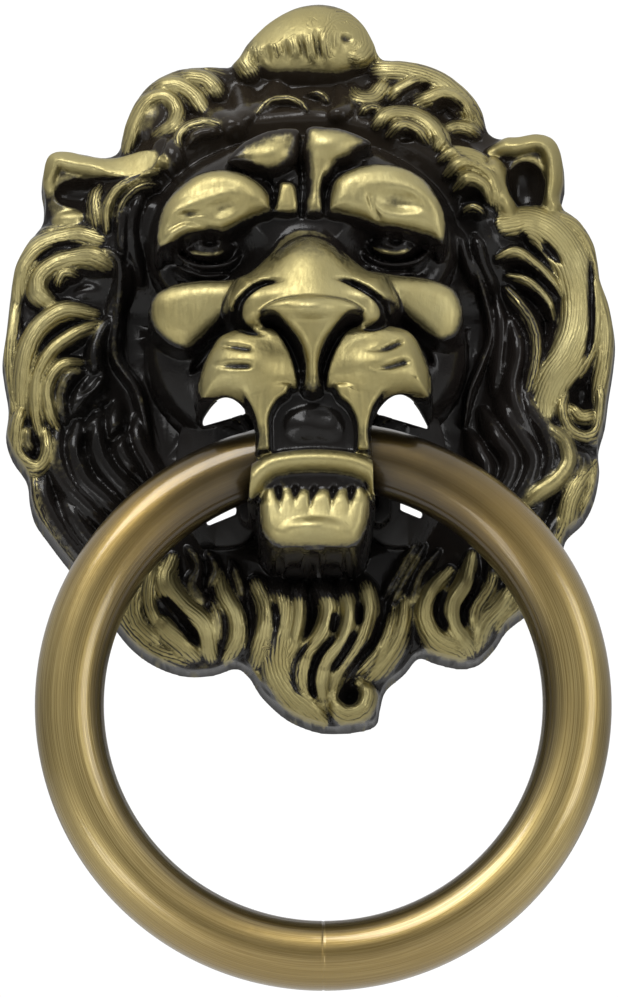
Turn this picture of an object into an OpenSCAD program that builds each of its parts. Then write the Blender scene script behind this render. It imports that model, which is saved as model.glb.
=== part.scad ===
/* [Mask] */
// Width of the lion mask at the door
mask_w = 110; // [102:1:118]
// Height of the lion mask at the door
mask_h = 133; // [124:1:142]
// How far the nose stands off the door
mask_depth = 43; // [41:0.5:46]
// Height of the edge that stands on the door
rim_h = 6.5; // [5:0.5:8]
// Thickness of the cast wall
wall = 3; // [2.5:0.25:3.5]

/* [Ring] */
// Outer diameter of the knocker ring
ring_d = 100; // [96:1:104]
// Diameter of the round bar that the ring is bent from
bar_d = 12; // [11:0.5:12.5]
// Distance from the door to the bar's centre where it hangs in the mouth
ring_stand = 24; // [23.5:0.25:25]
// Width of the dressed gap where the bar's ends meet
seam_gap = 0.4; // [0.2:0.1:0.8]

/* [Fixings] */
// Thickness of the door that the studs pass through
door_t = 44; // [35:1:54]
// Distance between the two studs
stud_spacing = 90; // [86:1:92]
// Outer diameter of the studs' thread
thread_d = 5; // [4:0.5:6]

/* [Hidden] */
$fn = 96;

brass = [0.66, 0.62, 0.40];
bronze = [0.55, 0.45, 0.25];
steel = [0.72, 0.70, 0.62];

// --- ring -------------------------------------------------------------
bar_r = bar_d / 2;
ring_r = ring_d / 2 - bar_r;      // radius of the bar's centre line
pivot_x = 2;                      // the ring hangs a little to one side
pivot_z = -16;                    // the bar's centre, where it hangs
seam_angle = 360 * seam_gap / (2 * PI * ring_r);
dowel_r = 2.5;
dowel_length = 16;
dowel_rise = 0.35;                // a straight pin, set between the curved bar's two extremes
over = 1;                         // how far a cutting shape runs past what it cuts

// --- fixings ----------------------------------------------------------
stud_z = stud_spacing / 2;
thread_r = thread_d / 2;
shank_r = thread_r - 0.25;        // the plain middle of a rolled stud
boss_r = 6;
boss_recess = 0.5;                // the boss stops short of the door
boss_thread = 9;                  // thread that each boss takes
boss_end = 3;                     // solid metal past the thread
washer_t = 1.2;
washer_r = 7.5;
washer_play = 0.15;
nut_flats = 8;                    // across the flats
nut_h = 4;
nut_total = 10;
dome_r = 3.75;
nut_thread = 7.5;
stud_in_nut = 6.5;
outer_thread = 6;                 // thread that reaches back into the door

// --- mask -------------------------------------------------------------
// The edge of the mask at the door, clockwise from the crown's tuft.
outline = [
    [-14.5, 60.5], [-12, 64], [-8, 68], [-3, 70.8], [2, 71.5], [6.5, 70.3], [9.8, 67.5],
    [11.8, 64], [13, 61.3], [16.5, 61], [20.5, 60.3], [24.8, 58.4], [28.8, 55], [31.2, 51.5],
    [32.5, 47.5], [36.3, 46.7], [40.5, 47.3], [43.8, 46.2], [45.5, 43], [45.8, 38],
    [45.3, 34], [48.8, 30.5], [51.3, 26], [52.2, 20], [53.8, 15], [54.6, 9.5], [54.2, 4.5],
    [53.3, -1], [52.6, -6], [51.4, -10.5], [51.5, -14.5], [50.5, -19.5], [48.5, -23.5],
    [45.5, -26.5], [44.5, -30], [42.5, -35], [39, -39.5], [34.8, -43], [32.4, -46.5],
    [29.5, -49.2], [26, -49.8], [22, -48.9], [19, -48], [16.5, -50.8], [13.2, -53.8],
    [12.2, -57], [11.4, -60], [8, -61.2], [3, -61.5], [-0.5, -60.8], [-4.7, -58.8],
    [-8.8, -55], [-11.2, -51.3], [-13.5, -49.8], [-17.5, -51], [-22.4, -51.2],
    [-27.5, -49.5], [-31.8, -46.5], [-35.3, -42.3], [-39, -37], [-43.6, -31.5],
    [-47, -27], [-49.4, -23.5], [-50.4, -20], [-51, -16], [-53.6, -12], [-54.8, -8],
    [-54.4, -3], [-55.2, 2], [-55.6, 6], [-54.9, 12], [-54.3, 18], [-53.6, 22.5],
    [-51.2, 27.2], [-48.9, 30.5], [-48.4, 34], [-48.9, 38], [-48.2, 42.3], [-45.8, 44],
    [-41, 43.7], [-37, 43.4], [-35, 44.5], [-34.2, 48.5], [-32, 53.5], [-29, 57],
    [-24.3, 59.4], [-19, 60]
];
middle = [0, 5];

// Rounded masses: [x, z, half width, half height, top]. The broad ones shape the mane.
face = [0, 12, 36, 44, 21];
snout_core = [0, 6, 19, 20, 27];  // only the hollow follows this one
broad_masses = [
    face,
    [-1, 62, 17, 13, 13],              // tuft
    [0, -45, 17, 19, 16],              // beard
    [-24, -38, 15, 14, 12],
    [24, -36, 15, 14, 12],
    [-40, 37, 13, 11, 13],             // ears
    [39, 39, 13, 12, 13],
    [-24, 50, 14, 13, 13],             // crown locks
    [22, 51, 14, 13, 13]
];
face_masses = [
    [0, 3, 23, 27, 30],                // snout
    [-2, 28, 30, 15, 25.5],            // brow ridge
    [-2, 38, 19, 11, 25],              // forehead, and its two lobes
    [-8, 38, 8, 7, 27.5],
    [4, 38.5, 9.5, 7.5, 27.5],
    [-2, 31, 5, 9, 28],                // ridges between the brows
    [-17, 27.5, 13, 8.5, 31],          // brows
    [13, 28.5, 13, 8.5, 31],
    [-0.5, 18, 11, 17, 33.5],          // bridge of the nose
    [0, 8.5, 15.5, 9.5, 43],           // tip of the nose
    [-21.5, 10, 11.5, 10.5, 25.5],     // cheeks
    [20, 10, 11.5, 10.5, 25.5],
    [-11, -1.5, 13, 11, 37.5],         // muzzle pads
    [11, -1.5, 13, 11, 37.5],
    [-8.5, -13, 4.5, 14, 36.5],        // the two pillars at the mouth's corners
    [8.5, -13, 4.5, 14, 36.5],
    [0, -14, 12.5, 16, 36],            // front of the mouth
    [0.5, -20.5, 13, 6, 37],           // lower lip
    [0.5, -28, 12, 8.5, 36.5]          // chin
];

mane_rise = 3.5;                  // from the edge to the top of the outer locks
mane_run = 0.22;                  // the share of the way in over which they rise
flute_h = 0.8;
flute_count = 22;
flute_lean = 300;                 // degrees that the flutes turn on their way in
flute_start = 0.1;
crease = 9;                       // the higher, the sharper the creases between masses
mane_power = 0.6;                 // how round the masses are: 0.5 is an ellipsoid
face_power = 0.45;

function dome(p, m, power) =
    let (q = pow((p.x - m[0]) / m[2], 2) + pow((p.y - m[1]) / m[3], 2))
    q < 1 ? m[4] * pow(1 - q, power) : 0;
// The highest of the heights, with the creases between them rounded.
function blended(v) = pow([for (h = v) pow(h, crease)] * [for (h = v) 1], 1 / crease);
// The mane rises from the edge and is fluted by its locks. f is 1 at the edge, 0 in the middle.
function mane_base(f) = rim_h + mane_rise * sin(90 * min(1, (1 - f) / mane_run));
function flutes(f, turn) =
    flute_h * sin(turn * flute_count + flute_lean * f) * min(1, (1 - f) / flute_start);
function mane(p, f, turn) =
    blended(concat([mane_base(f) + flutes(f, turn)], [for (m = broad_masses) dome(p, m, mane_power)]));
function features(p) = blended(concat([feature_floor], [for (m = face_masses) dome(p, m, face_power)]));
function cavity(p, f) =
    max(mane_base(f), dome(p, face, mane_power), dome(p, snout_core, mane_power)) - wall - wall_spare;

function at(p, f) = middle + f * (p - middle);
function turn_of(p) = atan2(p.y - middle.y, p.x - middle.x);
edge_count = len(outline);
draft_share = 0.985;
loop_count = 15;
loop_step = 0.062;
mane_rings = [for (i = [1:loop_count]) draft_share - loop_step * i];
cavity_rings = [0.90, 0.82, 0.72, 0.60, 0.48, 0.36, 0.24, 0.12];
rim_share = 0.925;                // where the cavity starts, as a share of the edge
edge_rounding = 1.5;
wall_spare = 1;                   // metal left over the wall for the locks' hollows
feature_floor = 3;
feature_back = 1;

function level(f, y) = [for (p = outline) let (q = at(p, f)) [q.x, y, q.y]];
function outside(f) = [for (p = outline) let (q = at(p, f)) [q.x, -mane(q, f, turn_of(p)), q.y]];
function inside(f) = [for (p = outline) let (q = at(p, f)) [q.x, -cavity(q, f), q.y]];

// A closed solid from loops of points that run from the back to the front, with a tip at each end.
module looped(loops, back_tip, front_tip) {
    n = edge_count;
    last = len(loops) - 1;
    points = concat([for (l = loops) each l], [back_tip, front_tip]);
    sides = [
        for (k = [0:last - 1], i = [0:n - 1])
            let (j = (i + 1) % n, a = k * n, b = a + n)
                each [[a + i, a + j, b + i], [a + j, b + j, b + i]]
    ];
    caps = [
        for (i = [0:n - 1])
            let (j = (i + 1) % n)
                each [[j, i, len(points) - 2], [last * n + i, last * n + j, len(points) - 1]]
    ];
    polyhedron(points, concat(sides, caps), convexity = 10);
}

module mane_solid() {
    looped(
        concat([level(1, 0), level(draft_share, edge_rounding - rim_h)],
               [for (f = mane_rings) outside(f)]),
        [middle.x, 0, middle.y],
        [middle.x, -mane(middle, 0, 0), middle.y]
    );
}

module hollow() {
    looped(
        concat([level(rim_share, over)], [for (f = cavity_rings) inside(f)]),
        [middle.x, over, middle.y],
        [middle.x, -cavity(middle, 0), middle.y]
    );
}

// The face's features, as a field of heights over a rectangle. It starts inside the mane's solid.
grid_step = 1.8;
grid_x = [for (x = [-32.4:grid_step:32.5]) x];
grid_z = [for (z = [-36:grid_step:46.9]) z];

module features_solid() {
    nx = len(grid_x);
    nz = len(grid_z);
    n = nx * nz;
    points = concat(
        [for (x = grid_x, z = grid_z) [x, -features([x, z]), z]],
        [for (x = grid_x, z = grid_z) [x, -feature_back, z]]
    );
    front = [
        for (i = [0:nx - 2], k = [0:nz - 2])
            let (a = i * nz + k, b = a + nz)
                each [[a, a + 1, b], [b, a + 1, b + 1]]
    ];
    border = concat(
        [for (k = [0:nz - 2]) k],
        [for (i = [0:nx - 2]) i * nz + nz - 1],
        [for (k = [nz - 1:-1:1]) (nx - 1) * nz + k],
        [for (i = [nx - 1:-1:1]) i * nz]
    );
    m = len(border);
    sides = [
        for (i = [0:m - 1])
            let (a = border[i], b = border[(i + 1) % m])
                [b, a, a + n, b + n]
    ];
    back = [[for (i = [m - 1:-1:0]) border[i] + n]];
    polyhedron(points, concat(front, sides, back), convexity = 10);
}

// The mouth: the tunnel that the bar lies in, the windows beside the lips, and the seat.
tunnel_play = 2.2;
seat_play = 0.45;
tunnel_r = bar_r + tunnel_play;
seat_r = bar_r + seat_play;
seat_w = 7;
window_in = 10.5;
window_out = 20;
window_top = -8;
window_bottom = -25.5;
cradle_wall = 3;
cradle_front = ring_stand + bar_r + cradle_wall;
cradle_back = ring_stand - bar_r - cradle_wall;
cradle_h = 16;

// The carved head, brought to its width, depth and height.
module head() {
    resize([mask_w, mask_depth, mask_h]) difference() {
        union() {
            mane_solid();
            features_solid();
        }
        hollow();
    }
}

// A cylinder that runs into the door, from y to y + length.
module along_door(y, z, r, length) {
    translate([0, y, z]) rotate([-90, 0, 0]) cylinder(h = length, r = r);
}

module along_bar(r, length) {
    translate([pivot_x, -ring_stand, pivot_z]) rotate([0, 90, 0])
        cylinder(h = length, r = r, center = true);
}

module cradle() {
    translate([pivot_x - seat_w / 2, -cradle_front, pivot_z - cradle_h])
        cube([seat_w, cradle_front - cradle_back, cradle_h]);
}

module tunnel() {
    along_bar(tunnel_r, 2 * window_out);
    translate([-window_out, -ring_stand, window_bottom])
        cube([2 * window_out, ring_stand + over, window_top - window_bottom]);
}

module windows() {
    for (x = [-window_out, window_in])
        translate([x, -mask_depth - over, window_bottom])
            cube([window_out - window_in, mask_depth + 2 * over, window_top - window_bottom]);
}

module lion_mask() {
    color(brass) difference() {
        union() {
            difference() {
                head();
                tunnel();
                windows();
            }
            cradle();
            for (z = [-stud_z, stud_z])
                along_door(-boss_thread - boss_end, z, boss_r, boss_thread + boss_end - boss_recess);
        }
        along_bar(seat_r, seat_w + 2 * over);
        for (z = [-stud_z, stud_z])
            along_door(-boss_thread, z, thread_r, boss_thread);
    }
}

module knocker_ring() {
    color(bronze) translate([pivot_x, -ring_stand, pivot_z - ring_r]) difference() {
        rotate([90, 0, 0]) rotate([0, 0, seam_angle / 2 - 90])
            rotate_extrude(angle = 360 - seam_angle) translate([ring_r, 0]) circle(bar_r);
        dowel_space();
    }
}

module dowel_space() {
    translate([0, 0, dowel_rise - ring_r]) rotate([0, 90, 0])
        cylinder(h = dowel_length, r = dowel_r, center = true);
}

module ring_joint_dowel() {
    color(steel) translate([pivot_x, -ring_stand, pivot_z - ring_r]) dowel_space();
}

module stud(z) {
    color(steel) {
        along_door(-boss_thread, z, thread_r, boss_thread - boss_recess);
        along_door(-boss_recess, z, shank_r, boss_recess + door_t - outer_thread);
        along_door(door_t - outer_thread, z, thread_r, outer_thread + washer_t + stud_in_nut);
    }
}

module washer(z) {
    color(steel) difference() {
        along_door(door_t, z, washer_r, washer_t);
        along_door(door_t - over, z, thread_r + washer_play, washer_t + 2 * over);
    }
}

module cap_nut(z) {
    color(steel) translate([0, door_t + washer_t, z]) rotate([-90, 0, 0]) difference() {
        union() {
            cylinder(h = nut_h, r = nut_flats / 2 / cos(30), $fn = 6);
            cylinder(h = nut_total - dome_r, r = dome_r);
            translate([0, 0, nut_total - dome_r]) sphere(dome_r);
        }
        translate([0, 0, -over]) cylinder(h = nut_thread + over, r = thread_r);
    }
}

module upper_stud() stud(stud_z);
module lower_stud() stud(-stud_z);
module upper_washer() washer(stud_z);
module lower_washer() washer(-stud_z);
module upper_cap_nut() cap_nut(stud_z);
module lower_cap_nut() cap_nut(-stud_z);

lion_mask();
knocker_ring();
ring_joint_dowel();
upper_stud();
lower_stud();
upper_washer();
lower_washer();
upper_cap_nut();
lower_cap_nut();
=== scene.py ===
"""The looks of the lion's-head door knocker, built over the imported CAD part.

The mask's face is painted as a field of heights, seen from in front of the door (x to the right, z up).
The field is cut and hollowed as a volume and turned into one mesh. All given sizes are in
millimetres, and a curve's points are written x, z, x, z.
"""

import math
from contextlib import contextmanager

import bpy
import numpy as np
import openvdb
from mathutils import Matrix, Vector


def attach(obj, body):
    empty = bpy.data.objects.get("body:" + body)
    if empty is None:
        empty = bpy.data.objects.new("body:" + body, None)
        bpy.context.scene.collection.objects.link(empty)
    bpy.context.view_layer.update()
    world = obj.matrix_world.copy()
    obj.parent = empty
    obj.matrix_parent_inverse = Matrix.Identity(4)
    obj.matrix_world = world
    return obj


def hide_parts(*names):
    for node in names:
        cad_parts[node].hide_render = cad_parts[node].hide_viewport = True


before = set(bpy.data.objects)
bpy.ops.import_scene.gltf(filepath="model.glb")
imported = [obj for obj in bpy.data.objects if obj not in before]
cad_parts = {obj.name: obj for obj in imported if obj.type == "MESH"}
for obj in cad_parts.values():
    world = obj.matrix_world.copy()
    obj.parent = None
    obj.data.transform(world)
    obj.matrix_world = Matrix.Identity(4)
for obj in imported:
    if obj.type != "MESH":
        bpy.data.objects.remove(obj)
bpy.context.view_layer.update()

PITCH = 0.2      # between the painted heights
X0, X1, Z0, Z1 = -58.0, 58.0, -65.0, 75.0
xs = np.arange(X0, X1 + PITCH / 2, PITCH)
zs = np.arange(Z0, Z1 + PITCH / 2, PITCH)
X, Z = np.meshgrid(xs, zs, indexing="ij")
FULL = 1.46      # how much fuller the locks are than their widths say
SUNK = 2.2       # how far a lock's foot lies under the ground
REACH = 14       # how far inland the distance from the edge is known
INNER = 0.12     # tone of the inner, lacquered mane
BOSS_Z = (-45.0, 45.0)

OUTLINE = [
    -14.5, 60.5, -12, 64, -8, 68, -3, 70.8, 2, 71.5, 6.5, 70.3, 9.8, 67.5, 11.8, 64, 13, 61.3, 16.5, 61,
    20.5, 60.3, 24.8, 58.4, 28.8, 55, 31.2, 51.5, 32.5, 47.5, 36.3, 46.7, 40.5, 47.3, 43.8, 46.2, 45.5, 43,
    45.8, 38, 45.3, 34, 48.8, 30.5, 51.3, 26, 52.2, 20, 53.8, 15, 54.6, 9.5, 54.2, 4.5, 53.3, -1, 52.6, -6,
    51.4, -10.5, 51.5, -14.5, 50.5, -19.5, 48.5, -23.5, 45.5, -26.5, 44.5, -30, 42.5, -35, 39, -39.5,
    34.8, -43, 32.4, -46.5, 29.5, -49.2, 26, -49.8, 22, -48.9, 19, -48, 16.5, -50.8, 13.2, -53.8, 12.2, -57,
    11.4, -60, 8, -61.2, 3, -61.5, -0.5, -60.8, -4.7, -58.8, -8.8, -55, -11.2, -51.3, -13.5, -49.8,
    -17.5, -51, -22.4, -51.2, -27.5, -49.5, -31.8, -46.5, -35.3, -42.3, -39, -37, -43.6, -31.5, -47, -27,
    -49.4, -23.5, -50.4, -20, -51, -16, -53.6, -12, -54.8, -8, -54.4, -3, -55.2, 2, -55.6, 6, -54.9, 12,
    -54.3, 18, -53.6, 22.5, -51.2, 27.2, -48.9, 30.5, -48.4, 34, -48.9, 38, -48.2, 42.3, -45.8, 44,
    -41, 43.7, -37, 43.4, -35, 44.5, -34.2, 48.5, -32, 53.5, -29, 57, -24.3, 59.4, -19, 60,
]


def spline(points, step=0.25, closed=False):
    """Points every step mm along a smooth curve through the given ones, with t from 0 to 1."""
    p = np.array(points, float).reshape(-1, 2)
    if closed:
        ctrl = [np.roll(p, shift, 0) for shift in (1, 0, -1, -2)]
    else:
        ext = np.vstack([2 * p[0] - p[1], p, 2 * p[-1] - p[-2]])
        ctrl = [ext[:-3], ext[1:-2], ext[2:-1], ext[3:]]
    out = []
    for a, b, c, d in zip(*ctrl):
        m = max(2, int(np.hypot(*(c - b)) / step) + 1)
        t = np.linspace(0, 1, m, endpoint=False)[:, None]
        out.append(0.5 * (2 * b + (c - a) * t + (2 * a - 5 * b + 4 * c - d) * t**2
                          + (3 * b - a - 3 * c + d) * t**3))
    if not closed:
        out.append(p[-1:])
    q = np.vstack(out)
    s = np.concatenate([[0], np.cumsum(np.hypot(*np.diff(q, axis=0).T))])
    return q, s / s[-1]


def cells(lo, hi, start, count):
    """The painting's cells between two places along one axis."""
    return slice(max(0, int((lo - start) / PITCH)), min(count, int((hi - start) / PITCH) + 2))


def window(cx, cz, r):
    """The cells within r of a point."""
    return cells(cx - r, cx + r, X0, len(xs)), cells(cz - r, cz + r, Z0, len(zs))


def blur(a, r):
    """A Gaussian-like blur: three box passes of about r mm."""
    n = max(1, int(round(r / PITCH)))
    for _ in range(3):
        for ax in (0, 1):
            pad = [(n, n) if i == ax else (0, 0) for i in (0, 1)]
            c = np.cumsum(np.pad(a, pad, mode="edge"), axis=ax)
            c = np.concatenate([np.zeros_like(np.take(c, [0], axis=ax)), c], axis=ax)
            m = a.shape[ax]
            hi = np.take(c, range(2 * n + 1, 2 * n + 1 + m), axis=ax)
            lo = np.take(c, range(0, m), axis=ax)
            a = (hi - lo) / (2 * n + 1)
    return a


def smooth(e0, e1, v):
    t = np.clip((v - e0) / (e1 - e0), 0, 1)
    return t * t * (3 - 2 * t)


def closed_curve(points, reach=None):
    """A closed curve's window and middle, how far each cell is from it, and which cells lie inside."""
    q, _ = spline(points, 0.4, closed=True)
    middle = q.mean(0)
    w = window(*middle, np.hypot(*(q - middle).T).max() + 1)
    far = np.full(X.shape, 1e9)
    inside = np.zeros(X.shape, bool)
    for a, b in zip(q, np.roll(q, -1, 0)):
        # with a reach, only a band around the curve needs an exact distance
        near = window(*((a + b) / 2), reach) if reach else w
        x, z = X[near], Z[near]
        ex, ez = b - a
        t = np.clip(((x - a[0]) * ex + (z - a[1]) * ez) / (ex * ex + ez * ez + 1e-12), 0, 1)
        far[near] = np.minimum(far[near], np.hypot(x - a[0] - t * ex, z - a[1] - t * ez))
        if a[1] != b[1]:
            lo, hi = (a, b) if a[1] < b[1] else (b, a)
            rows = (zs >= lo[1]) & (zs < hi[1])
            crossing = lo[0] + (hi[0] - lo[0]) * (zs[rows] - lo[1]) / (hi[1] - lo[1])
            inside[:, rows] ^= X[:, rows] < crossing[None, :]
    return w, middle, far, inside


@contextmanager
def ground(level):
    """Lay the strands of this block on another ground."""
    kept = G.copy()
    G[:] = level
    yield
    G[:] = kept


def lay(w, cand, tone, k=0.0, hair=0.0, across=0.0):
    """Raise the surface to cand where that is higher, blended over k, and give it its tone."""
    h = H[w]
    own = smooth(-0.25, 0.35, cand - h)
    T[w] = T[w] * (1 - own) + tone * own
    HAIR[w] = np.where(own > 0.5, hair, HAIR[w])
    ACROSS[w] = np.where(own > 0.5, across, ACROSS[w])
    m = np.clip(k - np.abs(cand - h), 0, None) / k if k else 0.0
    H[w] = np.maximum(h, cand) + m * m * k / 4


def ellipse(cx, cz, rx, rz, turn=0.0):
    """The window of a turned ellipse, and the squares of the two distances in it, as shares of its radii."""
    w = window(cx, cz, max(rx, rz))
    a = np.radians(turn)
    x, z = X[w] - cx, Z[w] - cz
    return w, ((x * np.cos(a) + z * np.sin(a)) / rx) ** 2, ((z * np.cos(a) - x * np.sin(a)) / rz) ** 2


def mass(cx, cz, rx, rz, top, foot, power, tone, k, turn=0.0, edge=0.35):
    """An ellipse-shaped swelling. edge is the share of its radius over which it darkens."""
    w, u2, v2 = ellipse(cx, cz, rx, rz, turn)
    q = u2 + v2
    cand = np.where(q < 1, foot + (top - foot) * np.clip(1 - q, 0, 1) ** power, -9)
    lay(w, cand, tone * smooth(1.0, 1.0 - edge * 2, q), k)


def dent(cx, cz, rx, rz, depth, tone, power=1.0, turn=0.0):
    """An ellipse-shaped hollow."""
    w, u2, v2 = ellipse(cx, cz, rx, rz, turn)
    q = np.clip(1 - u2 - v2, 0, 1) ** power
    H[w] -= depth * q
    m = np.clip(q * 1.8, 0, 1)
    T[w] = T[w] * (1 - m) + tone * m


def stain(cx, cz, rx, rz, tone, soft=0.5, strength=1.0):
    """Change the tone only."""
    w, u2, v2 = ellipse(cx, cz, rx, rz)
    m = strength * smooth(1.0, 1.0 - soft, np.sqrt(u2 + v2))
    T[w] = T[w] * (1 - m) + tone * m


def strand(points, width, height, tone, start=0.35, end=0.25, k=0.0, full=FULL, sharp=0.75, tone_end=None):
    """A lock of hair: a round ridge along a curve, thin over the start and end shares of its length.

    With full at 1 it is a smooth roll, without hair lines.
    """
    q, t = spline(points)
    width = width * full
    tone_end = tone if tone_end is None else tone_end
    ahead = np.gradient(q, axis=0)
    ahead /= np.maximum(np.hypot(*ahead.T), 1e-9)[:, None]
    grow = np.minimum(smooth(-0.1, start, t), smooth(-0.1, end, 1 - t))
    ws = width * (0.35 + 0.65 * grow)
    hs = height * (0.25 + 0.75 * grow)
    low, high = q.min(0) - width - 1, q.max(0) + width + 1
    W = cells(low[0], high[0], X0, len(xs)), cells(low[1], high[1], Z0, len(zs))
    i0, k0 = W[0].start, W[1].start
    cand, tones, across = np.full(H[W].shape, -9.0), np.zeros(H[W].shape), np.zeros(H[W].shape)
    for (cx, cz), r, hi, ti, (ax, az) in zip(q, ws, hs, t, ahead):
        w = a, b = window(cx, cz, r)
        part = slice(a.start - i0, a.stop - i0), slice(b.start - k0, b.stop - k0)
        x, z = X[w] - cx, Z[w] - cz
        u2 = (x**2 + z**2) / r**2
        c = np.where(u2 < 1, G[w] - SUNK + hi * np.clip(1 - u2, 0, 1) ** sharp, -9)
        above = c > cand[part]
        cand[part] = np.where(above, c, cand[part])
        tones[part] = np.where(above, (tone + (tone_end - tone) * ti) * smooth(1.02, 0.5, u2), tones[part])
        across[part] = np.where(above, x * az - z * ax, across[part])
    lay(W, cand, tones, k, 0.0 if full == 1 else smooth(0.2, 0.5, tone), across)


def groove(points, width, depth, start=0.2, end=0.2, tone=0.0):
    """A cut along a curve, dark at its bottom."""
    q, t = spline(points)
    grow = np.minimum(smooth(-0.05, start, t), smooth(-0.05, end, 1 - t))
    cut = np.zeros(X.shape)
    for (cx, cz), g in zip(q, grow):
        r = width * (0.4 + 0.6 * g)
        w = window(cx, cz, r)
        u2 = ((X[w] - cx) ** 2 + (Z[w] - cz) ** 2) / r**2
        cut[w] = np.maximum(cut[w], g * np.clip(1 - u2, 0, 1))
    H[:] -= depth * cut
    a = np.clip(cut * 1.6, 0, 1)
    T[:] = T * (1 - a) + tone * a


def block(points, top, foot, rim, tone, k, soft=1.6, tilt=(0, 0, 0)):
    """A plateau inside a closed curve, with rounded shoulders rim wide.

    tilt raises its top by a length, and by shares of x and z from its middle. It darkens over soft.
    """
    w, middle, far, inside = closed_curve(points)
    s = np.clip(far[w] / rim, 0, 1)
    slope = tilt[0] + tilt[1] * (X[w] - middle[0]) + tilt[2] * (Z[w] - middle[1])
    rise = (top + slope - foot) * np.sqrt(np.clip(1 - (1 - s) ** 2, 0, 1))
    lay(w, np.where(inside[w], foot + rise, -9), tone * smooth(0.0, 1.0, far[w] / min(rim, soft)), k)


# the ground the locks lie on, with the valley between the face and the mane
_, _, far, inside = closed_curve(OUTLINE, REACH)
EDGE = np.where(inside, np.minimum(far, REACH), -np.minimum(far, REACH))     # distance from the outline
around = ((X + 1) / 34.5) ** 2 + ((Z - 8) / 37) ** 2
G = 7.5 + 2.8 * np.sqrt(np.clip(EDGE / 9, 0, 1)) - 2.5 * smooth(1.25, 0.85, around)
# the mane climbs to the forehead at the crown
crown = ((X + 1.5) / 31) ** 2 + ((Z - 26.5) / 21) ** 2
G = G + 7.5 * smooth(1.9, 0.95, crown) * smooth(12, 26, Z)
# thick enough over the two fixing bosses
for cz in BOSS_Z:
    r = np.hypot(X, Z - cz)
    G = np.maximum(G, 12.9 - 2.5 * smooth(6.5, 12, r) - 20 * smooth(12, 14, r))
H = G - SUNK                # the painted height
# tone: 1 is worn brass, 0 is black lacquer, and the outer edge is half worn
T = 0.08 + 0.40 * smooth(1.02, 1.5, around) * smooth(8.5, 3.5, EDGE)
HAIR = np.zeros(X.shape)    # 1 on the locks, 0 on the face
ACROSS = np.zeros(X.shape)  # distance from the middle line of the lock

# inner mane, both sides (dark)
for points, width in (
        ([-45, -8, -45.5, -13, -43.5, -18, -40, -22, -36, -26], 2),
        ([-41.5, -7, -42, -12, -40.5, -17, -37, -20.5, -33, -24], 2),
        ([-38, -4, -38.5, -9, -37, -14, -34, -18, -30, -22], 2),
        ([-34.5, -3, -34.5, -8, -33, -13, -30, -17], 1.9),
        ([-31, -5, -30.5, -10, -28.5, -14, -26, -18], 1.7),
        ([-47.5, -15, -47.8, -20, -45.5, -25, -42, -30, -37, -35], 2),
        ([-44, -20, -41, -26, -37, -31, -33, -36], 2),
        ([-37, 2, -40, -1, -42.5, -5], 1.8),
        ([-34, 14, -37, 10, -38.5, 5, -37, 0], 1.8),
        ([-32.5, 22, -34, 17, -36, 12], 1.8),
        ([-30, 34, -31.5, 29, -31.5, 24, -30.5, 19], 1.5),
        ([-27.5, 33, -29.5, 28, -29.5, 23], 1.3),
        ([-33, 32, -33.5, 27, -33.5, 22], 1.3),
        ([33.5, 0, 34.5, -5, 37.5, -10, 39.3, -14, 37.5, -19, 33, -24], 2),
        ([30.5, -4, 32.5, -9, 35.5, -13.5, 34.5, -18, 31, -23], 1.9),
        ([28, -8, 29.5, -12, 31, -16, 28, -20], 1.7),
        ([35.5, 12, 36.5, 6, 35.3, 0, 37, -6, 40, -10], 1.9),
        ([33, 16, 33.5, 10, 33, 4, 32.5, -1], 1.6),
        ([37.5, 0, 39, -5, 41.5, -9, 42.5, -14, 40, -19], 1.7),
        ([41.5, -21, 38, -26, 34, -31, 31, -36], 2),
        ([45, -22, 42, -28, 38.5, -33, 35, -38], 2),
        ([29, 26, 30.5, 21, 33, 17], 1.3),
        ([26, 27, 27.5, 22, 29.5, 18], 1.2)):
    strand(points, width, 2.9, INNER, 0.25, full=1.12)
# leaves cut into the inner mane
for points in (
        [-41.6, -2.6, -39.5, 0, -37, 3.4], [-40.8, -7.2, -38, -4.3, -35, -2.2],
        [-36.6, -13.2, -34.6, -9.6, -32, -7], [-41, -14, -40, -10, -38.5, -7.5]):
    groove(points, 1.2, 1.9, 0.5, 0.5)
# crests where the mane drops to the face
strand([-37, 23.7, -34, 20.8, -34.6, 12.8, -34.8, 5.5, -31, -0.9, -28.6, -11], 1.3, 3.8, 0.2, 0.2, 0.3,
       full=1.1)
strand([26.5, 25, 29.4, 20, 31.4, 14, 31.9, 9, 30.2, 4, 28.2, -1, 27.2, -7], 0.9, 3.6, 0.22, 0.3, full=1.1)

# crown, second row
strand([-23.4, 41.3, -24, 44, -22.2, 46.5, -18.6, 47.1, -15.6, 46], 1.15, 3, 0.62, 0.4, 0.4)
strand([-22, 42.5, -20, 44.6, -16.6, 44.6], 1, 2.4, 0.15)
strand([-9.8, 48.6, -7.8, 51.2, -4.6, 52, -2, 50.9, -0.8, 49.2], 1, 3.6, 0.55, 0.4, 0.4)
strand([-13, 55, -12, 51, -13.5, 47], 2, 2.2, INNER)
strand([-6, 56, -7, 53, -11, 50], 1.8, 2.2, INNER)
strand([-0.8, 53.4, 1.8, 53, 3.2, 51], 0.8, 3, 0.45)
strand([8.6, 48.6, 10.4, 50.2, 12.6, 50.2], 1, 3.2, 0.6)
strand([5, 55, 6, 51, 4, 47.5], 1.6, 2.4, INNER)
strand([-28, 45, -25, 41, -24, 37], 1.6, 2.2, INNER)
strand([-19, 51, -15, 48, -13, 44], 1.8, 2.4, INNER)
strand([11.6, 46.2, 13.8, 48.6, 17.6, 49.4, 21.2, 47.6, 23.2, 44.2, 22.6, 42.4], 1.75, 4.2, 0.9, 0.25, 0.2)
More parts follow.
